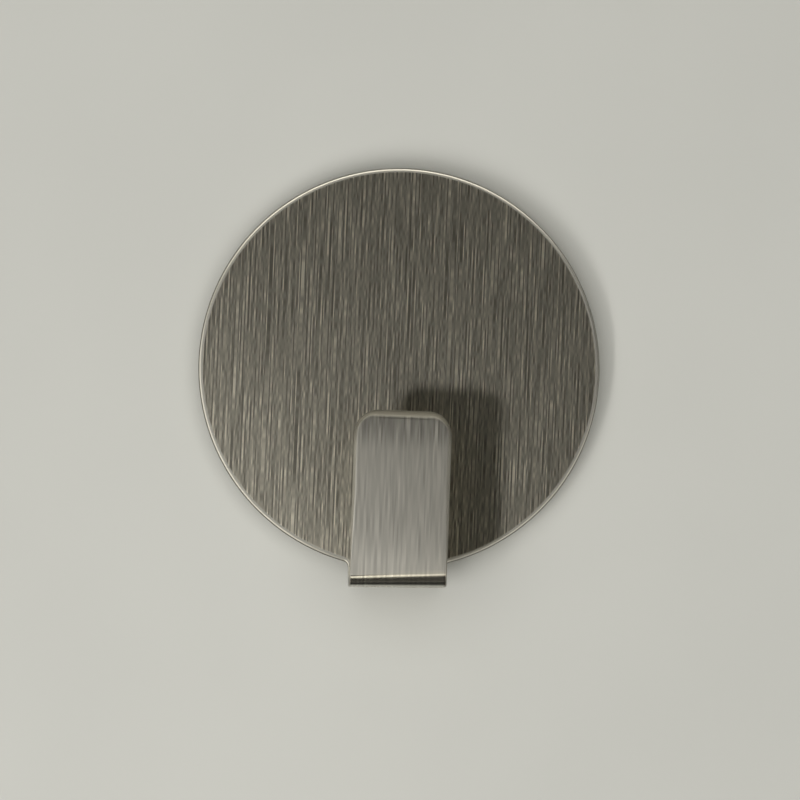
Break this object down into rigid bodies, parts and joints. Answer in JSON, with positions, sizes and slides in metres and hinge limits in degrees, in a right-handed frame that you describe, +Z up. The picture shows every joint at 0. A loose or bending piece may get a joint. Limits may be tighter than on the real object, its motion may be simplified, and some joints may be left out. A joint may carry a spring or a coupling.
{
  "type": "magnetic hook",
  "caption": "Flat round magnetic hook: a brushed stainless disc whose own strip is bent forward and up into a wide leaf, backed by magnets in a soft carrier.",
  "frame": {"origin": "centre of the contact face that lies on the wall, straight behind the middle of the disc", "axes": "+Y out of the contact face into the wall, so the front faces -Y; +Z up, the way the leaf points; +X to the right seen from the front"},
  "size_m": [0.05, 0.015, 0.0522],
  "materials": {
    "stainless": "brushed lengthwise, satin",
    "film": "translucent adhesive film",
    "carrier": "matt moulded",
    "nickel": "bright nickel plate"
  },
  "bodies": {
    "root": {"hook_plate": "stainless", "bonding_film": "film", "magnet_carrier": "carrier", "magnet_1": "nickel", "magnet_2": "nickel", "magnet_3": "nickel", "magnet_4": "nickel", "magnet_5": "nickel", "magnet_6": "nickel"}
  },
  "joints": []
}
